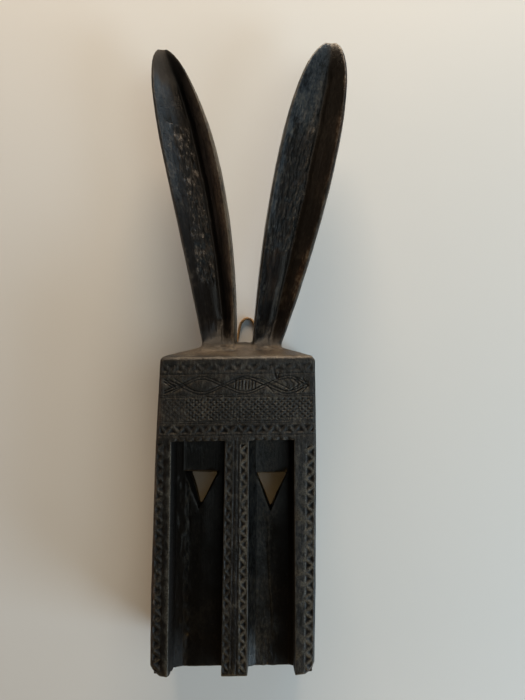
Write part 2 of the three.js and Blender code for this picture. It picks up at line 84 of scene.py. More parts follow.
# Fine lines scored between and inside the brow's crossing strands
SCORED_LINES = [
    [(-64.3, 257.4), (-57.2, 253.0), (-64.2, 249.5)],
    [(-63.8, 259.9), (-53.2, 252.1), (-63.6, 247.2)],
    [(-60.3, 260.4), (-48.2, 253.1), (-55.7, 249.1)],
    [(-54.9, 260.5), (-44.3, 254.3), (-37.2, 249.9)],
    [(-1.9, 260.5), (4.1, 262.9), (10.6, 262.1), (19.6, 258.2), (24.1, 256.3)],
    [(13.0, 263.6), (20.5, 261.7), (28.1, 258.3), (38.1, 253.5), (43.1, 251.1)],
    [(31.0, 260.4), (39.1, 257.1), (46.1, 253.4)],
    [(12.7, 251.1), (19.2, 254.7), (26.0, 258.3)],
    [(25.6, 256.9), (32.6, 250.4)],
    [(48.0, 263.2), (55.0, 257.8), (48.1, 252.7)],
    [(50.9, 263.9), (57.7, 258.8), (58.1, 254.8), (52.1, 250.8)],
    [(57.9, 263.2), (62.4, 255.9), (57.6, 250.8)],
    *[[(-1.5 + 2.9 * i, 252.3), (-1.1 + 2.9 * i, 259.9)] for i in range(7)],
]

# The ears: a straight line from base to tip, bowed sideways, and a leaf's width along it. The fullness is
# how blunt the tip is, and the valley is where the fold runs, as a share of the width.
EAR_START_Y = 293.0
EAR_WIDEST_AT = 0.59
# The ears' fronts lie above this
EAR_FRONT_Z = 45
EARS = {
    "left": {"base": -20, "base_width": 33.5, "tip": -83.6, "tip_y": 588.4, "bow": 31,
             "widest": 55.8, "fullness": 2.1, "valley": 0.62},
    "right": {"base": 26.2, "base_width": 29, "tip": 86, "tip_y": 597.6, "bow": 2,
              "widest": 59.7, "fullness": 2.7, "valley": 0.57},
}

# What time has done to the ears' fronts, with painted light and shade, as patches. The cool grey patches are
# a painted sheen on the slopes that face the light; the near-black ones are painted shade on the slopes
# turned from it and on the left ear's tip; the pale ones are dust with painted light near the rims; the dark
# patch on the left ear's tip is painted shade.
# Each patch: up the ear from and to, across it from and to, strength, and how softly the patch fades
EAR_PATCHES = {
    "left": {
        "torn": [(0.36, 0.7, -0.35, 0.1, 0.9, 1), (0.22, 0.36, -0.5, 0.1, 1.0, 1)],
        "painted_sheen": [
            (0.76, 0.86, -0.7, -0.05, 0.3, 1), (0.12, 0.6, 0.04, 0.16, 0.4, 0.6),
            (0.5, 0.75, -1, -0.7, 0.3, 2),
        ],
        "soot": [
            (0.05, 0.9, 0.24, 0.58, 0.95, 1), (0.02, 0.4, -0.7, -0.05, 0.95, 3),
            (0.36, 0.72, -0.4, 0.16, 0.95, 2), (0.9, 1.1, -9, 9, 0.95, 2),
        ],
        "dust_and_painted_rim_light": [(-0.02, 0.94, 0.82, 1.2, 0.5, 1), (0.1, 0.85, 0.62, 0.82, 0.2, 1)],
        "bare": [(0.5, 0.57, -0.02, 0.12, 0.9, 1), (0.1, 0.6, 0.5, 0.8, 0.2, 1)],
        "pits": [(0.93, 1.1, -9, 9, 1.0, 2)],
    },
    "right": {
        "torn": [(0.3, 0.76, -0.7, 0.08, 0.6, 1), (0.31, 0.5, -0.6, 0.1, 0.8, 1)],
        "painted_sheen": [
            (0.74, 0.97, -0.95, 0.1, 0.7, 1), (0.38, 0.76, -1.1, -0.78, 0.9, 1),
            (0.1, 0.5, -0.08, 0.08, 0.6, 0.6),
        ],
        "soot": [
            (0.3, 0.9, 0.14, 0.75, 0.95, 1), (0.03, 0.3, 0.16, 0.6, 0.8, 1),
            (0.02, 0.68, -0.55, -0.15, 0.7, 2),
        ],
        "dust_and_painted_rim_light": [(0.0, 0.5, 0.92, 1.2, 0.35, 1)],
        "bare": [
            (0.14, 0.3, -0.6, -0.2, 0.45, 1), (0.15, 0.3, 0.3, 0.8, 0.2, 1), (0.48, 0.72, 0.45, 1.0, 0.15, 2),
            (0.72, 0.98, 0.95, 1.2, 0.3, 1),
        ],
    },
}

# The cord's route, in mm in the carver's frame, as the solid has it
CORD_ROUTE = [
    (-6.6, 272, 5.2), (-6.6, 278, 5.2), (-6.6, 284, 5.2), (-6.5, 288.5, 5), (-6.2, 293, 4),
    (-5.7, 297.5, 2.6), (-5, 302, 1.8), (-4.3, 307, 1.6), (-3.3, 312, 1.6), (-1.7, 316.8, 1.6),
    (1.5, 320.3, 1.6), (5.7, 321.4, 1.6), (9.7, 319.7, 1.6), (12.3, 316, 1.6), (13.8, 311, 1.6),
    (15.2, 306, 1.6), (16.5, 301.5, 1.8), (17.8, 297, 2.6), (19, 292.7, 4), (20, 288.5, 5),
    (20.4, 284, 5.2), (20.5, 278, 5.2), (20.5, 272, 5.2),
]
# Points on the curve from one place of the route to the next
CORD_STEPS = 9
# The strands' radius, and how far they wind from the cord's middle, as shares of its diameter
STRAND_RADIUS = 0.36
STRAND_OFFSET = 0.17

# Drying cracks: from, to, the way the wood faces, width, depth and the seed of its wavering
CRACKS = [
    ((-73, -16, 52), (-71.5, 118, 60), (-1, 0, 0), 0.9, 2.4, 51),
    ((72, 30, 38), (71.5, 205, 31), (1, 0, 0), 0.8, 2.0, 53),
    ((72, -12, 88), (72, 70, 92), (1, 0, 0), 0.8, 2.0, 55),
    ((-71, 150, 96), (-69, 262, 90), (-1, 0, 0), 0.7, 1.8, 57),
    ((-78, 511.5, 74), (-64, 510.5, 72), (0, 0, 1), 0.9, 1.0, 59),
]

# The camera: its place in mm in the carver's frame, its turn in degrees, and its lens and sensor in mm
CAMERA_PLACE = [22.0, 287.24, 625.0]
CAMERA_TURN = 0.9
CAMERA_LENS = 29.22
CAMERA_SENSOR = 36

# The soft lights: degrees round the mask from +x, degrees above the floor, distance and size in metres
LIGHTS = {
    "window": (330, 25, 1.8, 0.9),
    "far_window": (60, 12, 1.7, 0.7),
    "ceiling": (0, 70, 1.8, 1.1),
    "lamp": (90, 12, 1.7, 0.7),
    "low_lamp": (270, 12, 1.7, 0.7),
    "left_glow": (180, 12, 1.7, 0.7),
}


def linear(colour):
    """An sRGB hex colour as linear red, green and blue"""
    channels = [int(colour[i:i + 2], 16) / 255 for i in (1, 3, 5)]
    return [c / 12.92 if c <= 0.04045 else ((c + 0.055) / 1.055) ** 2.4 for c in channels]


def paint(name, description, colour):
    return bpy.props.FloatVectorProperty(
        name=name, description=description, default=linear(colour), subtype="COLOR", size=3, min=0, max=1
    )


def length(name, description, metres):
    return bpy.props.FloatProperty(
        name=name, description=description, default=metres, min=0, unit="LENGTH", precision=5
    )


def power(name, description, watts):
    return bpy.props.FloatProperty(name=name, description=description, default=watts, min=0, unit="POWER")


class CarvingSettings(bpy.types.PropertyGroup):
    point_spacing: length("Point spacing", "Distance between the points that the carving is cut on", 0.5 * MM)
    triangles: bpy.props.IntProperty(
        name="Triangles", description="Most triangles that the finished carving keeps",
        default=192000, min=1000,
    )
    tool_marks: length("Tool marks", "Depth of the marks that the adze and gouge left", 0.75 * MM)
    grain_depth: length("Grain depth", "Depth of the open grain in the ears", 0.3 * MM)
    wear: length("Wear", "How far handling has rounded the sharp edges", 0.35 * MM)
    patina: paint("Patina", "Wood blackened by smoke and oil", "#0a0807")
    patina_warm: paint("Thin patina", "Where the wood's brown shows through", "#17100c")
    ridge: paint("Ridges", "Raised edges rubbed by hands", "#5a554b")
    # Dust, and light painted on the ears' rims where they face the light
    dust_and_painted_rim_light: paint("Dust", "Dust and lime settled on the roof and the edges", "#5c4f3e")
    # A cool grey painted sheen: the reflection of the light, painted where the wood faces it
    painted_sheen: paint("Bloom", "The grey bloom of old oil where the wood is smooth", "#33383c")
    bare: paint("Worn wood", "Wood laid bare by chips and rubbing", "#4a3018")


class CordSettings(bpy.types.PropertyGroup):
    diameter: length("Diameter", "Thickness of the whole twisted cord", 3.0 * MM)
    lay: length("Lay", "Length of cord in which a strand turns once", 9.0 * MM)
    strands: bpy.props.IntProperty(name="Strands", description="Strands twisted together", default=3, min=2)
    fibre: paint("Fibre", "Lit plant fibre", "#8f6c38")
    fibre_dark: paint("Dark fibre", "Fibre stained by smoke and hands", "#38210d")


class StageSettings(bpy.types.PropertyGroup):
    floor_size: length("Floor size", "Length of the floor's sides", 6.0)
    floor: paint("Floor", "Pale matt plaster", "#ccccca")
    window: paint("Window", "Cool daylight from the right", "#d2ecff")
    window_power: power("Window power", "Power of the daylight from the right", 22.0)
    far_window: paint("Far window", "Cool daylight from beyond the right ear", "#bce4ff")
    far_window_power: power("Far window power", "Power of the daylight beyond the right ear", 9.0)
    ceiling: paint("Ceiling", "Even light from overhead", "#f3fffe")
    ceiling_power: power("Ceiling power", "Power of the overhead light", 8.4)
    lamp: paint("Lamp", "Warm lamplight from beyond the ears", "#ffe5c5")
    lamp_power: power("Lamp power", "Power of the warm light beyond the ears", 62.0)
    low_lamp: paint("Low lamp", "Faint warm light from below the chin", "#ffd08a")
    low_lamp_power: power("Low lamp power", "Power of the light below the chin", 7.0)
    left_glow: paint("Left glow", "Faint warm light from the left", "#ffddc8")
    left_glow_power: power("Left glow power", "Power of the light from the left", 6.4)
    room: paint("Room", "Light that the room sends from all round", "#ffebce")
    room_strength: bpy.props.FloatProperty(
        name="Room strength", description="Strength of the room's light", default=0.01, min=0
    )


def add_node(tree, kind, inputs=None, **settings):
    """One node with its settings, and with its inputs set to values or linked to sockets"""
    node = tree.nodes.new(kind)
    for name, value in settings.items():
        setattr(node, name, value)
    for name, value in (inputs or {}).items():
        if isinstance(value, bpy.types.NodeSocket):
            tree.links.new(value, node.inputs[name])
        else:
            node.inputs[name].default_value = value
    return node


def new_material(name):
    material = bpy.data.materials.new(name)
    material.use_nodes = True
    return material, material.node_tree, material.node_tree.nodes["Principled BSDF"]


def rgba(colour):
    return (*colour, 1.0)


def mix_colours(tree, share, first, second, blend="MIX"):
    mix = add_node(tree, "ShaderNodeMix", data_type="RGBA", blend_type=blend)
    for socket, value in ((mix.inputs[0], share), (mix.inputs[6], first), (mix.inputs[7], second)):
        if isinstance(value, bpy.types.NodeSocket):
            tree.links.new(value, socket)
        else:
            socket.default_value = value
    return mix.outputs[2]


def ramp(tree, value, low, high, to_low=0.0, to_high=1.0):
    """A value's range from low to high, stretched to another range and held at its ends"""
    return add_node(
        tree, "ShaderNodeMapRange",
        {"Value": value, "From Min": low, "From Max": high, "To Min": to_low, "To Max": to_high}, clamp=True,
    ).outputs[0]


def noise_of(tree, places, size, detail, roughness):
    """Unevenness from 0 to 1 whose bumps have this size along x, y and z, in mm"""
    scale = tuple(1 / (s * MM) for s in size)
    scaled = add_node(tree, "ShaderNodeMapping", {"Vector": places, "Scale": scale})
    inputs = {"Vector": scaled.outputs[0], "Scale": 1.0, "Detail": detail, "Roughness": roughness}
    return add_node(tree, "ShaderNodeTexNoise", inputs).outputs["Fac"]


def times(tree, first, second):
    return add_node(tree, "ShaderNodeMath", {0: first, 1: second}, operation="MULTIPLY").outputs[0]


# Near black, in linear colour: smoke and dirt, and the painted shade in pits, channels and slopes turned from
# the light
SOOT_AND_SHADE = (0.004, 0.0032, 0.0026)


def patinated_hardwood(settings):
    """Dense hardwood hewn with adze and knife, blackened by smoke, oil and years of handling.

    The patina is near black with a dull waxy sheen. Raised edges are rubbed lighter, and painted lighter
    towards the right, where the light falls. Pits and creases are matt and black with soot and painted shade,
    slopes turned from the light get painted shade and slopes facing it a cool grey painted sheen. Torn places
    bristle with pale splinters, dust lies on the roof, light is painted on the ears' rims, and chips show the
    brown wood. The grain runs from the chin to the ears' tips.
    """
    material, tree, shader = new_material("patinated_hardwood")
    places = add_node(tree, "ShaderNodeTexCoord").outputs["Object"]
    unrolled = add_node(tree, "ShaderNodeAttribute", attribute_name="grain").outputs["Vector"]
    carving = add_node(tree, "ShaderNodeAttribute", attribute_name="carving")
    marks = add_node(tree, "ShaderNodeSeparateColor", {"Color": carving.outputs["Color"]})
    ridge, pit, bare, torn = *marks.outputs, carving.outputs["Alpha"]
    # The second set of marks: dust with painted rim light, a painted sheen, and soot with painted shade
    handling = add_node(tree, "ShaderNodeAttribute", attribute_name="handling")
    dust_sheen_and_shade = add_node(tree, "ShaderNodeSeparateColor", {"Color": handling.outputs["Color"]})
    dust_and_painted_rim_light, painted_sheen, soot = dust_sheen_and_shade.outputs

    grain = noise_of(tree, unrolled, (1.1, 26, 1.1), 4.0, 0.6)
    splintered = noise_of(tree, unrolled, (1.6, 6, 1.6), 5.0, 0.7)
    blotches = noise_of(tree, places, (24, 24, 24), 5.0, 0.62)
    grime = noise_of(tree, places, (1.9, 1.9, 1.9), 4.0, 0.7)
    torn = times(tree, torn, ramp(tree, noise_of(tree, unrolled, (5, 14, 5), 2.0, 0.5), 0.4, 0.56, 0.15, 1.0))
    specks = noise_of(tree, places, (1.3, 1.3, 1.3), 2.0, 0.5)

    thin = ramp(tree, blotches, 0.45, 0.72)
    colour = mix_colours(tree, thin, rgba(settings.patina), rgba(settings.patina_warm))
    # A cool grey painted sheen where the wood faces the light
    sheen_share = times(tree, painted_sheen, ramp(tree, grain, 0.3, 0.6, 0.45, 1.0))
    colour = mix_colours(tree, sheen_share, colour, rgba(settings.painted_sheen))
    colour = mix_colours(tree, ramp(tree, grain, 0.5, 0.72, 0.0, 0.5), colour, rgba(settings.patina))
    # Dust, and light painted on the ears' rims
    dust_and_rim_light_share = times(tree, dust_and_painted_rim_light, ramp(tree, grime, 0.3, 0.6, 0.5, 1.0))
    colour = mix_colours(tree, dust_and_rim_light_share, colour, rgba(settings.dust_and_painted_rim_light))
    chipped = times(tree, bare, ramp(tree, grain, 0.3, 0.6, 0.5, 1.0))
    colour = mix_colours(tree, chipped, colour, rgba(settings.bare))
    film = add_node(tree, "ShaderNodeMath", {
        0: noise_of(tree, unrolled, (2.2, 5, 2.2), 4.0, 0.68), 1: ramp(tree, blotches, 0.3, 0.7, -0.14, 0.14)
    }, operation="ADD").outputs[0]
    colour = mix_colours(tree, ramp(tree, film, 0.5, 0.38, 0.0, 0.85), colour, rgba(SOOT_AND_SHADE))
    colour = mix_colours(tree, ramp(tree, film, 0.52, 0.7, 0.0, 0.36), colour, rgba(settings.ridge))
    # Ridges rubbed lighter, and painted lighter towards the right, where the light falls
    rubbed_and_lit = times(tree, ridge, ramp(tree, specks, 0.38, 0.58, 0.3, 1.0))
    colour = mix_colours(tree, rubbed_and_lit, colour, rgba(settings.ridge))
    # Near black for soot and painted shade, over shaded places and in the pits
    for mark in (ramp(tree, soot, 0.0, 1.0, 0.0, 0.9), ramp(tree, pit, 0.0, 1.0, 0.0, 0.85)):
        colour = mix_colours(tree, mark, colour, rgba(SOOT_AND_SHADE))
    clefts = times(tree, torn, ramp(tree, splintered, 0.56, 0.46))
    colour = mix_colours(tree, clefts, colour, rgba(SOOT_AND_SHADE))
    splinters = times(tree, torn, ramp(tree, splintered, 0.58, 0.68, 0.0, 0.9))
    colour = mix_colours(tree, splinters, colour, rgba(settings.ridge))
    tree.links.new(colour, shader.inputs["Base Color"])

    dull = ramp(tree, grime, 0.3, 0.7, 0.24, 0.4)
    for mark, more in ((pit, 0.45), (soot, 0.02), (bare, 0.2), (dust_and_painted_rim_light, 0.3), (torn, 0.1)):
        dull = add_node(
            tree, "ShaderNodeMath", {0: dull, 1: ramp(tree, mark, 0, 1, 0, more)}, operation="ADD"
        ).outputs[0]
    tree.links.new(dull, shader.inputs["Roughness"])
    shader.inputs["Specular IOR Level"].default_value = 0.2

    normal = add_node(
        tree, "ShaderNodeBump", {"Strength": 0.6, "Distance": 0.25 * MM, "Height": grain}
    ).outputs[0]
    caked = times(tree, grime, ramp(tree, soot, 0.0, 0.6, 1.0, 0.2))
    for strength, distance, height in ((0.8, 0.6, caked), (0.8, 0.7, times(tree, torn, splintered))):
        normal = add_node(tree, "ShaderNodeBump", {
            "Strength": strength, "Distance": distance * MM, "Height": height, "Normal": normal
        }).outputs[0]
    tree.links.new(normal, shader.inputs["Normal"])
    return material


def twisted_fibre(settings):
    """Hand-twisted plant fibre: dry, matt, golden, with fine fibres along each strand and darker fibres mixed
    among them
    """
    material, tree, shader = new_material("twisted_fibre")
    strand = add_node(tree, "ShaderNodeUVMap", uv_map="UVMap").outputs["UV"]
    fibres = add_node(tree, "ShaderNodeMapping", {"Vector": strand, "Scale": (30.0, 9.0, 1.0)}).outputs[0]
    noise = add_node(
        tree, "ShaderNodeTexNoise", {"Vector": fibres, "Scale": 1.0, "Detail": 4.0}
    ).outputs["Fac"]
    colour = mix_colours(tree, ramp(tree, noise, 0.35, 0.65), rgba(settings.fibre_dark), rgba(settings.fibre))
    tree.links.new(colour, shader.inputs["Base Color"])
    shader.inputs["Roughness"].default_value = 0.8
    shader.inputs["Sheen Weight"].default_value = 0.2
    bump = add_node(tree, "ShaderNodeBump", {"Strength": 0.5, "Distance": 0.2 * MM, "Height": noise})
    tree.links.new(bump.outputs[0], shader.inputs["Normal"])
    return material


def matt_plaster(settings):
    """Smooth painted plaster: pale, matt, with a faint unevenness"""
    material, tree, shader = new_material("matt_plaster")
    places = add_node(tree, "ShaderNodeTexCoord").outputs["Object"]
    clouds = add_node(
        tree, "ShaderNodeTexNoise", {"Vector": places, "Scale": 1 / (90 * MM), "Detail": 3.0}
    ).outputs["Fac"]
    shader.inputs["Base Color"].default_value = rgba(settings.floor)
    shader.inputs["Roughness"].default_value = 0.9
    shader.inputs["Specular IOR Level"].default_value = 0.2
    bump = add_node(tree, "ShaderNodeBump", {"Strength": 0.12, "Distance": 2.0 * MM, "Height": clouds})
    tree.links.new(bump.outputs[0], shader.inputs["Normal"])
    return material


def hashed(cells, seed):
    """A fixed number from 0 to 1 for each whole-number cell"""
    mixed = cells[:, 0] * 73856093 ^ cells[:, 1] * 19349663 ^ cells[:, 2] * 83492791 ^ (seed + 1) * 97531
    mixed = (mixed ^ (mixed >> 13)) & 0xFFFFFFFF
    mixed = (mixed * 1274126177) & 0xFFFFFFFF
    return ((mixed ^ (mixed >> 16)) & 0xFFFFFF) / 0xFFFFFF


def soft_noise(places, size, seed=0):
    """Smooth unevenness from -1 to 1. The size is the width of its bumps along x, y and z, in mm."""
    scaled = places / np.asarray(size, dtype=float) + 0.37 * seed
    cell = np.floor(scaled).astype(np.int64)
    part = scaled - cell
    part = part * part * (3 - 2 * part)
    total = np.zeros(len(places))
    for corner in itertools.product((0, 1), repeat=3):
        share = np.prod(np.where(corner, part, 1 - part), axis=1)
        total += share * hashed(cell + np.array(corner), seed)
    return total * 2 - 1


def dishes(places, size, seed=0):
    """Dishes left by a curved blade: 0 in the middle of a dish, up to 1 on the ridges between them"""
    scaled = places / np.asarray(size, dtype=float)
    base = np.floor(scaled - 0.5).astype(np.int64)
    nearest = np.full(len(places), 9.0)
    for corner in itertools.product((0, 1), repeat=3):
        cell = base + np.array(corner)
        centre = cell + np.stack([hashed(cell, seed + i) for i in range(3)], axis=1) * 0.6 + 0.2
        nearest = np.minimum(nearest, ((scaled - centre) ** 2).sum(axis=1))
    return np.clip(nearest / 0.7, 0, 1)


def rise(value, low, high):
    """Smooth step from 0 at low to 1 at high"""
    share = np.clip((value - low) / (high - low), 0, 1)
    return share * share * (3 - 2 * share)


def between(value, low, high, blur):
    return rise(value, low - blur, low) * (1 - rise(value, high, high + blur))


def applied(mesh, name, kind, weights=(), **settings):
    """The mesh with one modifier applied. The weights are pairs of a weight and the points that have it.

    The result keeps its groups of points, so a group is made only for weights: a second one would get
    another name, and the modifier would read the empty first one.
    """
    holder = bpy.data.objects.new(name, mesh)
    bpy.context.collection.objects.link(holder)
    if weights:
        group = holder.vertex_groups.new(name="weights")
        for weight, chosen in weights:
            group.add(np.flatnonzero(chosen).tolist(), weight, "REPLACE")
    modifier = holder.modifiers.new(name, kind)
    for key, value in settings.items():
        setattr(modifier, key, value)
    made = bpy.data.meshes.new_from_object(holder.evaluated_get(bpy.context.evaluated_depsgraph_get()))
    bpy.data.objects.remove(holder)
    return made


class Carving:
    """A dense mesh whose points are moved as a carver's blade would, in mm in the carver's frame"""

    def __init__(self, mesh, spacing):
        self.mesh = mesh
        self.spacing = spacing
        self.points = self.read("vertices", "co") / MM - HEAD_SHIFT
        self.normals = self.read("vertex_normals", "vector")

    def read(self, items, name):
        values = np.empty(len(self.mesh.vertices) * 3, dtype=np.float32)
        getattr(self.mesh, items).foreach_get(name, values)
        return values.reshape(-1, 3).astype(float)

    def write(self):
        self.points[:, 2] = np.maximum(self.points[:, 2], 0)
        self.mesh.vertices.foreach_set("co", ((self.points + HEAD_SHIFT) * MM).astype(np.float32).ravel())
        self.mesh.update()
        self.normals = self.read("vertex_normals", "vector")

    def smoothed(self, reach):
        """The points once all relief narrower than about the reach, in mm, has been smoothed away"""
        self.write()
        rounds = max(1, round(4 * (reach / self.spacing) ** 2))
        calm = applied(self.mesh, "calm", "SMOOTH", factor=0.5, iterations=rounds)
        values = np.empty(len(calm.vertices) * 3, dtype=np.float32)
        calm.vertices.foreach_get("co", values)
        bpy.data.meshes.remove(calm)
        return values.reshape(-1, 3) / MM - HEAD_SHIFT

    def cut(self, where, depth):
        """Moves the points of a region in along their normals by a depth, in mm"""
        self.points[where] -= self.normals[where] * depth[:, None]


def ear_places(points, ear):
    """For each point, how far it is up the ear, from 0 to 1, and across it, from -1 to 1"""
    up = (points[:, 1] - EAR_START_Y) / (ear["tip_y"] - EAR_START_Y)
    held = np.clip(up, 0, 0.995)
    middle = ear["base"] + (ear["tip"] - ear["base"]) * held + ear["bow"] * (held - held ** 2)
    swell = np.maximum(0, 1 - held / EAR_WIDEST_AT)
    close = np.maximum(0, (held - EAR_WIDEST_AT) / (1 - EAR_WIDEST_AT))
    growing = ear["widest"] - (ear["widest"] - ear["base_width"]) * swell ** 1.7
    width = np.where(held < EAR_WIDEST_AT, growing, ear["widest"] * np.sqrt(1 - close ** ear["fullness"]))
    return up, (points[:, 0] - middle) / (width / 2), width


def dense_copy(node, spacing):
    """A copy of a CAD node's mesh, merged and rebuilt from evenly spaced points"""
    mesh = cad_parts[node].data.copy()
    shell = bmesh.new()
    shell.from_mesh(mesh)
    bmesh.ops.remove_doubles(shell, verts=shell.verts, dist=0.001 * MM)
    shell.to_mesh(mesh)
    shell.free()
    return applied(mesh, "points", "REMESH", mode="VOXEL", voxel_size=spacing, adaptivity=0)


def soften_forms(carving):
    """Rounds the ears, the roof and the panel above the eyes, and draws the chin down.

    The ears' outline and the cut ornament stay crisp.
    """
    little, much = carving.smoothed(0.4), carving.smoothed(2.7)
    points, normals = carving.points, carving.normals
    on_ears = rise(points[:, 1], ROOF_Y - 3, ROOF_Y + 6)
    tip = np.zeros(len(points))
    for ear in EARS.values():
        up, across, _ = ear_places(points, ear)
        near = (np.abs(across) < 1.3) & (up > 0.02)
        rim = np.maximum(rise(np.abs(across), 0.84, 0.97), rise(up, 0.975, 0.99))
        on_ears[near] = np.minimum(on_ears, 1 - rim)[near]
        tip[near] = rise(up, 0.84, 0.93)[near]
    back = on_ears * (1 - rise(normals[:, 2], -0.1, 0.35))
    front = on_ears * rise(normals[:, 2], 0.1, 0.4) * (0.5 + 0.2 * tip)
    roof = between(points[:, 1], 277, 300, 3) * rise(FACE_Z - points[:, 2], 2, 10) * 0.8
    panel = (np.abs(points[:, 0]) < 55) & (points[:, 1] < LINTEL_Y - 4) & (np.abs(points[:, 2] - PANEL_Z) < 3)
    panel = panel * rise(normals[:, 2], 0.8, 0.95) * rise(points[:, 1], EYE_TOP_Y + 1, EYE_TOP_Y + 5)
    share = np.clip(np.maximum.reduce([back, front, roof, panel]), 0, 1)[:, None]
    carving.points = little + (much - little) * share
    chin = rise(-points[:, 1], -14, 0) * rise(points[:, 2], 60, 110)
    carving.points[:, 1] -= chin * CHIN_DROP
    carving.write()


def wear_bands(carving):
    """Wears the cut ornament of the brow, the nose and the columns to uneven depths"""
    points = carving.points
    level = points[:, 1] - SLANT * points[:, 0]
    depth = FACE_Z - points[:, 2]
    cut = (depth > 0) & (depth < CHIP_DEPTH)
    for low, high, left in WORN_BANDS:
        band = cut & (level > low) & (level < high) & (np.abs(points[:, 0]) < 67.5)
        uneven = 1 + 0.4 * soft_noise(points[band], (8, 8, 40), 71)
        points[band, 2] = FACE_Z - depth[band] * left * uneven
    low, high = NOSE_GROOVES
    nose = cut & (points[:, 0] > low) & (points[:, 0] < high) & (level < LINTEL_Y + 4) & (points[:, 1] > 0)
    points[nose, 2] = FACE_Z - depth[nose] * (0.3 + 0.2 * soft_noise(points[nose], (4, 14, 40), 72))
    low, high = COLUMN_SPAN
    for top, end, width, _ in COLUMNS:
        start = top + (end - top) * (high - points[:, 1]) / (high - low)
        column = cut & (points[:, 0] > start) & (points[:, 0] < start + width)
        column &= (points[:, 1] > low) & (points[:, 1] < high)
        uneven = 0.75 + 0.4 * soft_noise(points[column], (5, 11, 40), 73)
        points[column, 2] = FACE_Z - depth[column] * uneven


def score_lines(carving):
    """Fine V lines scored on the brow with a knife's point"""
    points = carving.points
    region = (np.abs(points[:, 2] - FACE_Z) < 2.5) & (points[:, 1] > 243) & (points[:, 1] < 270)
    places = points[region, :2]
    nearest = np.full(len(places), 9.0)
    for line in SCORED_LINES:
        for start, end in itertools.pairwise(line):
            start, along = np.array(start), np.array(end) - np.array(start)
            reached = np.clip((places - start) @ along / (along @ along), 0, 1)
            nearest = np.minimum(nearest, np.linalg.norm(places - start - reached[:, None] * along, axis=1))
    points[region, 2] -= np.clip(1 - nearest / 0.8, 0, 1) * 0.75


def hew_flanks(carving, depth):
    """Adze facets on the sides, the back of the head and the backs of the ears"""
    points, normals = carving.points, carving.normals
    flat = (normals[:, 2] < 0.3) & (points[:, 2] > 1)
    outer = flat & ((np.abs(points[:, 0]) > HALF_WIDTH - 8) | (points[:, 1] > 270))
    marks = dishes(points[outer], (11, 26, 11), 3) * 0.6 + soft_noise(points[outer], (18, 40, 18), 4) * 0.25
    carving.cut(outer, (0.3 - marks) * depth * 0.6)


def hew_hollow(carving, depth):
    """Gouge marks in the hollow and behind the panel of the eyes"""
    points, normals = carving.points, carving.normals
    inside = (np.abs(points[:, 0]) < 62) & (points[:, 1] < 266) & (points[:, 2] < PANEL_Z - 6)
    brow = (np.abs(points[:, 0]) < 56) & (points[:, 1] > 215) & (points[:, 1] < 268) & (points[:, 2] < 110)
    region = (inside | brow) & (points[:, 2] > 1.5)
    marks = dishes(points[region], (13, 26, 13), 11)
    carving.cut(region, (0.35 - marks) * depth)


def crease_distance(points):
    """How far, in mm across the grain, each point lies from the crease that runs down the right channel"""
    wander = soft_noise(points * (0, 1, 0), (1, 13, 1), 25) * 1.4
    return points[:, 0] - (34 - 0.058 * (points[:, 1] - 48)) - wander


def cut_channels(carving, depth):
    """Gouge strokes down the two channels: calm above the eyes, choppy in the left channel's outer corner.

    The right channel's floor falls from both sides to a crease below the eye.
    """
    points = carving.points
    region = (points[:, 2] > PANEL_Z - 1) & (points[:, 2] < FACE_Z - 4) & (points[:, 1] < LINTEL_Y + 3)
    region &= (np.abs(points[:, 0]) < 60) & (points[:, 1] > -18)
    places = points[region]
    above = rise(places[:, 1], EYE_TOP_Y - 12, EYE_TOP_Y + 4)
    off_panel = places[:, 2] - PANEL_Z
    carving.points[region, 2] -= off_panel * above * (1 - rise(np.abs(off_panel), 1, 2.4)) * 0.9
    calm = 1 - 0.95 * above
    strokes = dishes(places, (9, 20, 8), 21) * calm * 0.55
    ripples = soft_noise(places, (3.6, 7, 3.6), 23) * 1.2 + 0.6 * soft_noise(places, (1.6, 4, 1.6), 24)
    ripples = ripples * calm + soft_noise(places, (14, 24, 14), 26) * above * 0.3
    lower = 1 - rise(places[:, 1], 60, 110)
    rough = 1.3 * between(places[:, 0], -58, -46, 4) + 0.7 * between(places[:, 0], 14, 38, 5) * lower
    rough = np.maximum(rough, above)
    from_crease = np.abs(crease_distance(places))
    gutter = np.clip(1 - from_crease / 17, 0, 1) * 2.4 - np.clip(1 - from_crease / 1.6, 0, 1) * 1.1
    gutter *= between(places[:, 1], 40, 100, 34) * (places[:, 0] > 8) * (places[:, 2] < PANEL_Z + 5)
    carving.cut(region, (0.35 - strokes) * depth * 0.8 + ripples * depth * 0.6 * rough + gutter)


def ear_mark(kind, side, up, across, noise=0.0):
    """How strongly one kind of mark shows at places on an ear, with the marks' borders moved by a noise"""
    strength = np.zeros(len(up))
    for low, high, left, right, most, soft in EAR_PATCHES[side][kind]:
        along = between(up + noise * 0.03, low, high, 0.04 * soft)
        over = between(across + noise * 0.12, left, right, 0.12 * soft)
        strength = np.maximum(strength, along * over * most)
    return strength


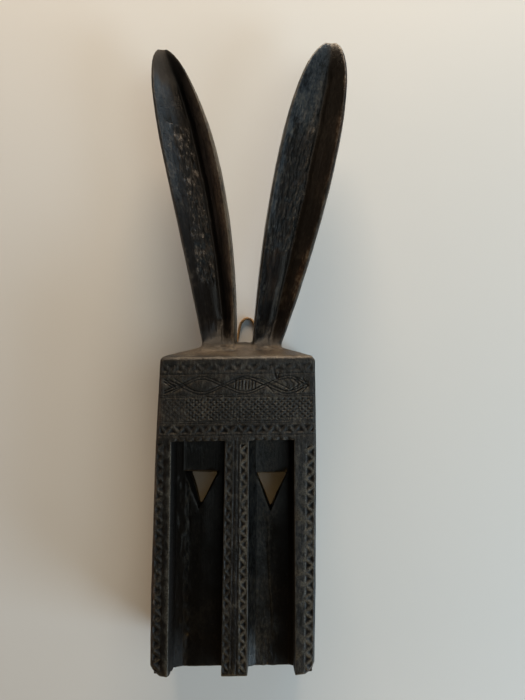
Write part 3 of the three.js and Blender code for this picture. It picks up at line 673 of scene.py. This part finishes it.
def open_grain(carving, depth):
    """Long open grain in the ears' hollowed fronts, torn in places, with a soft lip left of the valley"""
    points, normals = carving.points, carving.normals
    for side, ear in EARS.items():
        up, across, width = ear_places(points, ear)
        region = (np.abs(across) < 1.02) & (up > -0.01) & (up < 1.0) & (normals[:, 2] > 0.05)
        region &= points[:, 2] > EAR_FRONT_Z
        places, up, across, width = points[region], up[region], across[region], width[region]
        leaning = places.copy()
        leaning[:, 0] = across * width / 2
        grain = soft_noise(leaning, (1.4, 32, 3), 31) * 0.55 + soft_noise(leaning, (3.4, 60, 6), 32) * 0.45
        torn = soft_noise(leaning, (2.4, 9, 4), 33) + 0.6 * soft_noise(leaning, (1.2, 4.5, 2), 34)
        torn = np.round(torn * 2.5) / 2.5 * ear_mark("torn", side, up, across)
        smooth = 1 - 0.7 * between(up, 0.72, 1.0, 0.08)
        from_valley = (across + 1 - 2 * ear["valley"]) * width / 2
        from_valley = from_valley + soft_noise(leaning, (60, 15, 60), 35) * 1.2
        lip = between(from_valley, -3.6, -1.8, 2.2) * 0.45
        gutter = between(from_valley, 1.2, 2.6, 3.0) * 0.9
        fold = (gutter - lip) * between(up, 0.03, 0.86, 0.06)
        rim = 1 - rise(np.abs(across), 0.8, 0.88)
        carving.cut(region, (grain * smooth + torn * 2.8) * depth * rim + fold)


def wear_edges(carving, wear):
    """Rounds and nicks the sharp outer edges unevenly, as years of handling do"""
    calm = carving.smoothed(1.15)
    points, normals = carving.points, carving.normals
    proud = ((points - calm) * normals).sum(axis=1)
    sharp = proud > 0.22
    places = points[sharp]
    uneven = 0.5 + 0.5 * soft_noise(places, (7, 11, 7), 41)
    nicks = rise(soft_noise(places, (2.4, 3.2, 2.4), 42), 0.25, 0.75)
    held = 1 + 2.2 * pillar_edge(places)
    outline = 0.5 + 0.5 * (places[:, 1] < ROOF_Y)
    carving.cut(sharp, (uneven * 0.8 + nicks * 1.1) * wear * rise(proud[sharp], 0.22, 0.5) * held * outline)


def pillar_edge(points):
    """The left pillar's inner edge, worn by hands to a wavering bevel, on which a painted highlight lies"""
    wander = soft_noise(points * (0, 1, 0), (1, 9, 1), 45) * 0.5
    near = between(points[:, 0] + wander, PILLAR_EDGE_X - 1.0, PILLAR_EDGE_X + 0.4, 0.5)
    below_lintel = 1 - rise(points[:, 1], LINTEL_Y - 6, LINTEL_Y - 3)
    return near * rise(points[:, 2], FACE_Z - 4, FACE_Z - 2.5) * below_lintel


def crack(carving, start, end, facing, width, depth, seed):
    """A drying crack along the grain: a narrow wavering cleft that closes at both ends"""
    start, end, facing = np.array(start, float), np.array(end, float), np.array(facing, float)
    along = end - start
    reach = np.linalg.norm(along)
    along /= reach
    side = np.cross(facing, along)
    offset = carving.points - start
    far = offset @ along
    region = (far > -1) & (far < reach + 1) & (np.abs(offset @ facing) < 12) & (np.abs(offset @ side) < 6)
    region &= carving.normals @ facing > 0.5
    far = far[region]
    path = np.stack([far, far * 0, far * 0], axis=1)
    waver = soft_noise(path, (14, 1, 1), seed) * 1.1
    waver += soft_noise(path, (3.5, 1, 1), seed + 1) * 0.35
    taper = np.clip(1 - np.abs(2 * far / reach - 1) ** 3, 0, 1)
    beside = np.abs(offset[region] @ side - waver)
    cleft = np.clip(1 - beside / (width * taper + 0.01), 0, 1) * depth * taper
    carving.points[region] -= facing * cleft[:, None]


def mark_surface(mesh, spacing):
    """Writes each point's ridges, rubbed and painted lighter; pits, dark with soot and painted shade; bare
    and torn wood; dust and painted rim light; painted sheen and shade; and its place along the grain
    """
    carving = Carving(mesh, spacing)
    near, wide = carving.smoothed(0.85), carving.smoothed(2.2)
    points, normals = carving.points, carving.normals
    proud = ((points - near) * normals).sum(axis=1)
    broad = ((points - wide) * normals).sum(axis=1)
    marks = head_marks(points, normals, broad)
    grain = points.copy()
    for side, ear in EARS.items():
        up, across, width = ear_places(points, ear)
        aside = across * width / 2
        on_ear = (up > -0.02) & ((np.abs(across) < 1.3) | ((up > 0.9) & (np.abs(aside) < 35)))
        grain[on_ear, 0] = ear["base"] + aside[on_ear]
        front = on_ear & (normals[:, 2] > -0.1)
        places = points[front]
        noise = soft_noise(places, (5, 16, 8), 63) + 0.5 * soft_noise(places, (2.2, 6, 4), 64)
        for kind in EAR_PATCHES[side]:
            mark = ear_mark(kind, side, up[front], across[front], noise)
            if kind == "bare":
                mark *= rise(noise, -0.6, 0.3)
            marks[kind][front] = np.maximum(marks[kind][front], mark)
        marks["rubbed_and_lit"][front] *= 0.35
    ridge = (rise(proud, 0.02, 0.16) * 0.8 + rise(broad, 0.3, 1.2) * 0.4) * marks["rubbed_and_lit"]
    # Hollows and creases darkened: soot and painted shade
    pit = rise(-proud, 0.02, 0.18) * 0.6 + rise(-broad, 0.12, 0.9) * 0.6
    ridge = np.maximum(ridge, marks["lands"])
    pit = np.maximum(pit, marks["pits"])
    write_colours(mesh, "carving", ridge, pit, marks["bare"], marks["torn"])
    # Dust with light painted on the ears' rims, a painted sheen, and soot with painted shade
    write_colours(mesh, "handling", marks["dust_and_painted_rim_light"], marks["painted_sheen"], marks["soot"], np.ones(len(points)))
    unrolled = mesh.attributes.new(name="grain", type="FLOAT_VECTOR", domain="POINT")
    unrolled.data.foreach_set("vector", (grain * MM).astype(np.float32).ravel())


def write_colours(mesh, name, *channels):
    """Four channels from 0 to 1 as one colour attribute"""
    colours = np.clip(np.stack(channels, axis=1), 0, 1).astype(np.float32)
    layer = mesh.color_attributes.new(name=name, type="FLOAT_COLOR", domain="POINT")
    layer.data.foreach_set("color", colours.ravel())


def ornament_marks(points):
    """The face's raised lands, rubbed and painted lighter towards the right, and its cut pits, dark with soot
    and painted shade, each from 0 to 1
    """
    x, y, z = points.T
    depth = FACE_Z - z
    carved = (depth < CHIP_DEPTH) & (np.abs(x) < HALF_WIDTH - 1.7) & (y > 2) & (y < EAVE_Y - 3)
    pits = carved * rise(depth, 0.15, 0.8) * 0.9
    land = carved * (1 - rise(depth, 0.1, 0.5))
    lands = np.zeros(len(points))
    uneven = 0.65 + 0.6 * soft_noise(points, (3, 4, 30), 66) + 0.3 * soft_noise(points, (1.2, 1.6, 30), 67)
    uneven = np.clip(uneven, 0, 1.3)
    low, high = COLUMN_SPAN
    for top, end, width, bright in COLUMNS:
        start = top + (end - top) * (high - y) / (high - low)
        inside = between(x - start, 0.2, width, 0.4) * between(y, low, high, 1)
        lands = np.maximum(lands, land * inside * bright * uneven)
    level = y - SLANT * x
    over, up = (x - NET["from"]) / NET["across"], (level - NET["low"]) / NET["up"]
    off_line = np.minimum(np.abs((over + up + 0.5) % 1 - 0.5), np.abs((over - up + 0.5) % 1 - 0.5))
    net = between(level, NET["low"], NET["high"], 0.5) * (1 - rise(off_line, 0.06, 0.16)) * rise(x, -64, -30)
    return np.maximum(lands, land * net * uneven * 1.3), pits


def head_marks(points, normals, broad):
    """What time has done to the head, with painted light and shade: how strongly each kind of mark shows at
    each point, from 0 to 1
    """
    x, y, z = points.T
    lands, pits = ornament_marks(points)
    wall = rise(np.abs(normals[:, 0]), 0.3, 0.6)
    patches = soft_noise(points, (9, 30, 9), 61) * 0.6 + soft_noise(points, (2.5, 9, 2.5), 62) * 0.4
    face = rise(z, FACE_Z - 4, FACE_Z - 2.5) * (1 - rise(y, EAVE_Y - 2, EAVE_Y))
    below_brow = 1 - rise(y, LINTEL_Y - 1, LINTEL_Y + 1)
    brow = face * (1 - below_brow)
    channel = rise(z, PANEL_Z - 8, PANEL_Z - 6) * (1 - rise(z, FACE_Z - 5, FACE_Z - 3)) * below_brow
    channel *= np.abs(x) < 58
    left, right = channel * (x < -8), channel * (x > 8)
    # The left channel's outer corner, where light reaches past the nose ridge: painted sheen instead of
    # painted shade
    corner = between(x + 3 * patches, -59, -47, 2.5) * (1 - wall) * rise(EYE_TOP_Y + 8 - y, 0, 14)
    corner *= 0.35 + 0.65 * rise(y, 30, 90)
    # The right channel's left wall, which faces the light: painted sheen
    lit_wall = right * wall * (x < 24)
    shelf = between(y + 0.25 * (x + 58), 192, 200, 2) * between(x, -56, -34, 4) * (z < PANEL_Z + 12)

    chin = rise(-y, -8, 4) * rise(np.abs(x), 56, 64) * rise(z, 95, 110)
    outer_edge = face * below_brow * rise(-x, 68.5, 70.5) + brow * rise(-x, 63, 68) * 0.5
    worn_corner = rise(broad, 0.35, 1.3) * rise(patches, 0.0, 0.5) * 0.35
    bare = np.maximum.reduce([
        chin * rise(patches, -0.6, 0.1) * 0.9, outer_edge * rise(patches, -0.5, 0.2) * 0.7, worn_corner,
    ])

    roof = rise(y, EAVE_Y - 1, EAVE_Y + 1) * (1 - rise(y, 291, 294)) * rise(z, 20, 40)
    # Soot and painted shade: the left channel where the nose ridge shades it, less in its lit outer corner
    # and on its shelf, the right channel's right side where the right pillar shades it, and a dark strip on
    # the left pillar's face
    soot = np.maximum.reduce([
        left * (0.9 - 0.75 * corner - 0.6 * shelf),
        right * rise(x + 3 * patches, 28, 44) * 0.9,
        face * below_brow * between(x, -64, -59.3, 0.8) * 0.7,
    ])
    # The ears' feet, which the ears shade
    feet = rise(y, 291, 293) * (1 - rise(y, 300, 308)) * rise(z, 40, 50) * rise(normals[:, 1], 0.1, 0.4)
    # Painted light: the face lighter towards the right, where the light falls
    lit = rise(x, -30, 25)
    # Painted highlight along the left pillar's worn inner edge, where the bevel catches the light
    edge = pillar_edge(points)
    crease = right * between(crease_distance(points), -1.2, 1.2, 1) * (y < 135) * (y > 30)
    marked = right * between(x, 14, 36, 4) * (1 - rise(y, 60, 110)) * 0.5
    fretted = np.maximum(brow * 0.6, face * below_brow * 0.3)
    groove = face * below_brow * between(x, *NOSE_GROOVES, 0.3) * rise(FACE_Z - z, 0.1, 0.5)
    return {
        "bare": bare,
        "torn": np.maximum.reduce([left * corner * 0.6, crease * 0.8, marked, fretted]),
        "soot": soot,
        "dust_and_painted_rim_light": np.maximum(roof * 0.3, brow * 0.08),
        # Painted sheen: the right channel's lit left side and left wall, the left channel's lit outer corner
        # and shelf, the brow towards the right, and the right pillar's face
        "painted_sheen": np.maximum.reduce([
            right * (1 - rise(x + 3 * patches, 24, 40)) * (0.4 + 0.35 * rise(y, 20, 80)), lit_wall * 0.7,
            left * shelf * 0.7, left * corner * 0.5, brow * lit * 0.35,
            face * below_brow * rise(x, 46, 52) * 0.3,
        ]),
        # Rubbed lighter, and on the face painted lighter towards the right
        "rubbed_and_lit": np.where(normals[:, 2] < 0.3, 0.35, np.maximum(1 - face, face * (0.5 + 0.5 * lit))),
        "lands": np.maximum.reduce([lands, edge * 0.85, brow * 0.07 * (1 - pits)]),
        # Soot and painted shade: the cut pits, the nose's grooves, the channels' walls but the lit one, the
        # chin's corners, the ears' feet in the ears' shade, and the left channel's lower outer part
        "pits": np.maximum.reduce([
            pits, groove, (channel * wall - lit_wall) * 0.9, chin * 0.6, feet * 0.7,
            left * (1 - rise(x, -49, -44)) * (1 - rise(y, 30, 80)) * 0.7,
        ]),
    }


def catmull_rom(points, steps):
    """Points of the smooth curve through the given points, spaced as the solid's curve is"""
    rows = [Vector(p) for p in points]
    rows = [2 * rows[0] - rows[1], *rows, 2 * rows[-1] - rows[-2]]
    made = []
    for before, start, end, after in zip(rows, rows[1:], rows[2:], rows[3:]):
        for step in range(steps):
            t = step / steps
            made.append(0.5 * (
                2 * start + (end - before) * t
                + (2 * before - 5 * start + 4 * end - after) * t ** 2
                + (3 * start - before - 3 * end + after) * t ** 3
            ))
    made.append(rows[-2])
    return made


def strand_curve(line, turn, radius, offset, lay):
    """One strand of the cord as a round curve that winds about the cord's line"""
    curve = bpy.data.curves.new("strand", "CURVE")
    curve.dimensions = "3D"
    curve.bevel_depth = radius
    curve.bevel_resolution = 2
    curve.use_fill_caps = True
    spline = curve.splines.new("POLY")
    spline.points.add(len(line) - 1)
    travelled = 0.0
    for i, place in enumerate(line):
        tangent = (line[min(i + 1, len(line) - 1)] - line[max(i - 1, 0)]).normalized()
        across = Vector((0, 0, 1)).cross(tangent).normalized()
        over = tangent.cross(across)
        if i:
            travelled += (place - line[i - 1]).length
        angle = turn + 2 * math.pi * travelled / lay
        centre = place + (across * math.cos(angle) + over * math.sin(angle)) * offset
        spline.points[i].co = (*centre, 1.0)
    holder = bpy.data.objects.new("strand", curve)
    bpy.context.collection.objects.link(holder)
    mesh = bpy.data.meshes.new_from_object(holder.evaluated_get(bpy.context.evaluated_depsgraph_get()))
    bpy.data.objects.remove(holder)
    return mesh


class HAREMASK_OT_stage(bpy.types.Operator):
    """Makes the camera, the pale floor and the soft lights"""

    bl_idname = "haremask.stage"
    bl_label = "Stage"

    def execute(self, context):
        settings = context.scene.haremask_stage
        self.camera(context)
        sheet = bmesh.new()
        bmesh.ops.create_grid(sheet, x_segments=1, y_segments=1, size=settings.floor_size / 2)
        mesh = bpy.data.meshes.new("floor")
        sheet.to_mesh(mesh)
        sheet.free()
        mesh.materials.append(matt_plaster(settings))
        floor = bpy.data.objects.new("floor", mesh)
        context.collection.objects.link(floor)
        for name, (turn, height, distance, size) in LIGHTS.items():
            colour, watts = getattr(settings, name), getattr(settings, name + "_power")
            self.light(context, name, turn, height, distance, size, colour, watts)
        world = bpy.data.worlds.new("room")
        world.use_nodes = True
        backdrop = world.node_tree.nodes["Background"]
        backdrop.inputs["Color"].default_value = rgba(settings.room)
        backdrop.inputs["Strength"].default_value = settings.room_strength
        context.scene.world = world
        context.scene.view_settings.view_transform = "Standard"
        return {"FINISHED"}

    def camera(self, context):
        """Looks straight down on the mask, turned a little as the picture is"""
        lens = bpy.data.cameras.new("camera")
        lens.lens = CAMERA_LENS
        lens.sensor_width = CAMERA_SENSOR
        camera = bpy.data.objects.new("camera", lens)
        camera.location = (np.array(CAMERA_PLACE) + HEAD_SHIFT) * MM
        camera.rotation_euler = (0, 0, math.radians(CAMERA_TURN))
        context.collection.objects.link(camera)
        context.scene.camera = camera

    def light(self, context, name, turn, height, distance, size, colour, watts):
        """A square soft light that faces the mask, placed by its angle round the mask and above the floor"""
        lamp = bpy.data.lights.new(name, "AREA")
        lamp.size = size
        lamp.energy = watts
        lamp.color = colour
        turn, height = math.radians(turn), math.radians(height)
        out = math.cos(height)
        place = Vector((math.cos(turn) * out, math.sin(turn) * out, math.sin(height)))
        light = bpy.data.objects.new(name, lamp)
        light.location = place * distance
        light.rotation_euler = (-place).to_track_quat("-Z", "Y").to_euler()
        context.collection.objects.link(light)


class HAREMASK_OT_cord(bpy.types.Operator):
    """Twists the hanging cord from its strands"""

    bl_idname = "haremask.cord"
    bl_label = "Hanging cord"

    def execute(self, context):
        settings = context.scene.haremask_cord
        route = [(np.array(place) + HEAD_SHIFT) * MM for place in CORD_ROUTE]
        line = catmull_rom(route, CORD_STEPS)
        radius = settings.diameter * STRAND_RADIUS
        offset = settings.diameter * STRAND_OFFSET
        cord = bmesh.new()
        for strand in range(settings.strands):
            turn = 2 * math.pi * strand / settings.strands
            part = strand_curve(line, turn, radius, offset, settings.lay)
            cord.from_mesh(part)
            bpy.data.meshes.remove(part)
        mesh = bpy.data.meshes.new("twisted_cord")
        cord.to_mesh(mesh)
        cord.free()
        mesh.polygons.foreach_set("use_smooth", [True] * len(mesh.polygons))
        mesh.materials.clear()
        mesh.materials.append(twisted_fibre(settings))
        piece = bpy.data.objects.new("twisted_cord", mesh)
        context.collection.objects.link(piece)
        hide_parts("hanging_cord")
        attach(piece, "root")
        return {"FINISHED"}


class HAREMASK_OT_carving(bpy.types.Operator):
    """Cuts the tool marks, grain, wear and cracks into the mask's wood"""

    bl_idname = "haremask.carving"
    bl_label = "Carved mask"

    def execute(self, context):
        settings = context.scene.haremask_carving
        spacing = settings.point_spacing * 1
        dense = dense_copy("mask_carving", spacing)
        carving = Carving(dense, spacing / MM)
        tool_marks = settings.tool_marks / MM
        soften_forms(carving)
        wear_bands(carving)
        score_lines(carving)
        carving.write()
        hew_flanks(carving, tool_marks)
        hew_hollow(carving, tool_marks)
        cut_channels(carving, tool_marks)
        open_grain(carving, settings.grain_depth / MM)
        wear_edges(carving, settings.wear / MM)
        for cleft in CRACKS:
            crack(carving, *cleft)
        carving.write()
        mark_surface(dense, spacing / MM)
        ornament = (carving.points[:, 2] > FACE_Z - 4) & (carving.points[:, 1] < EAVE_Y)
        share = min(1.0, settings.triangles / (2 * len(dense.polygons)))
        mesh = applied(
            dense, "lighter", "DECIMATE", [(PLAIN_WOOD_WEIGHT, ~ornament), (CARVED_FACE_WEIGHT, ornament)],
            ratio=share, use_collapse_triangulate=True, vertex_group="weights",
            vertex_group_factor=WEIGHT_FACTOR,
        )
        mesh.name = "carved_mask"
        mesh.polygons.foreach_set("use_smooth", [True] * len(mesh.polygons))
        mesh.materials.clear()
        mesh.materials.append(patinated_hardwood(settings))
        piece = bpy.data.objects.new("carved_mask", mesh)
        context.collection.objects.link(piece)
        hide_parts("mask_carving")
        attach(piece, "root")
        return {"FINISHED"}


class HAREMASK_PT_panel(bpy.types.Panel):
    """Lists the mask's pieces in the sidebar"""

    bl_idname = "HAREMASK_PT_panel"
    bl_label = "Hare mask"
    bl_space_type = "VIEW_3D"
    bl_region_type = "UI"
    bl_category = "Hare mask"

    def draw(self, context):
        for operator in (HAREMASK_OT_stage, HAREMASK_OT_cord, HAREMASK_OT_carving):
            self.layout.operator(operator.bl_idname)
        for group in SETTINGS:
            box = self.layout.box()
            values = getattr(context.scene, group)
            for name in values.__annotations__:
                box.prop(values, name)


SETTINGS = {
    "haremask_carving": CarvingSettings, "haremask_cord": CordSettings, "haremask_stage": StageSettings,
}
CLASSES = (*SETTINGS.values(), HAREMASK_OT_stage, HAREMASK_OT_cord, HAREMASK_OT_carving, HAREMASK_PT_panel)


def register():
    for made in CLASSES:
        bpy.utils.register_class(made)
    for name, group in SETTINGS.items():
        setattr(bpy.types.Scene, name, bpy.props.PointerProperty(type=group))


def unregister():
    for name in SETTINGS:
        delattr(bpy.types.Scene, name)
    for made in reversed(CLASSES):
        bpy.utils.unregister_class(made)


def main():
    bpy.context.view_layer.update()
    register()
    bpy.ops.haremask.stage()
    bpy.ops.haremask.cord()
    bpy.ops.haremask.carving()


if __name__ == "__main__":
    main()
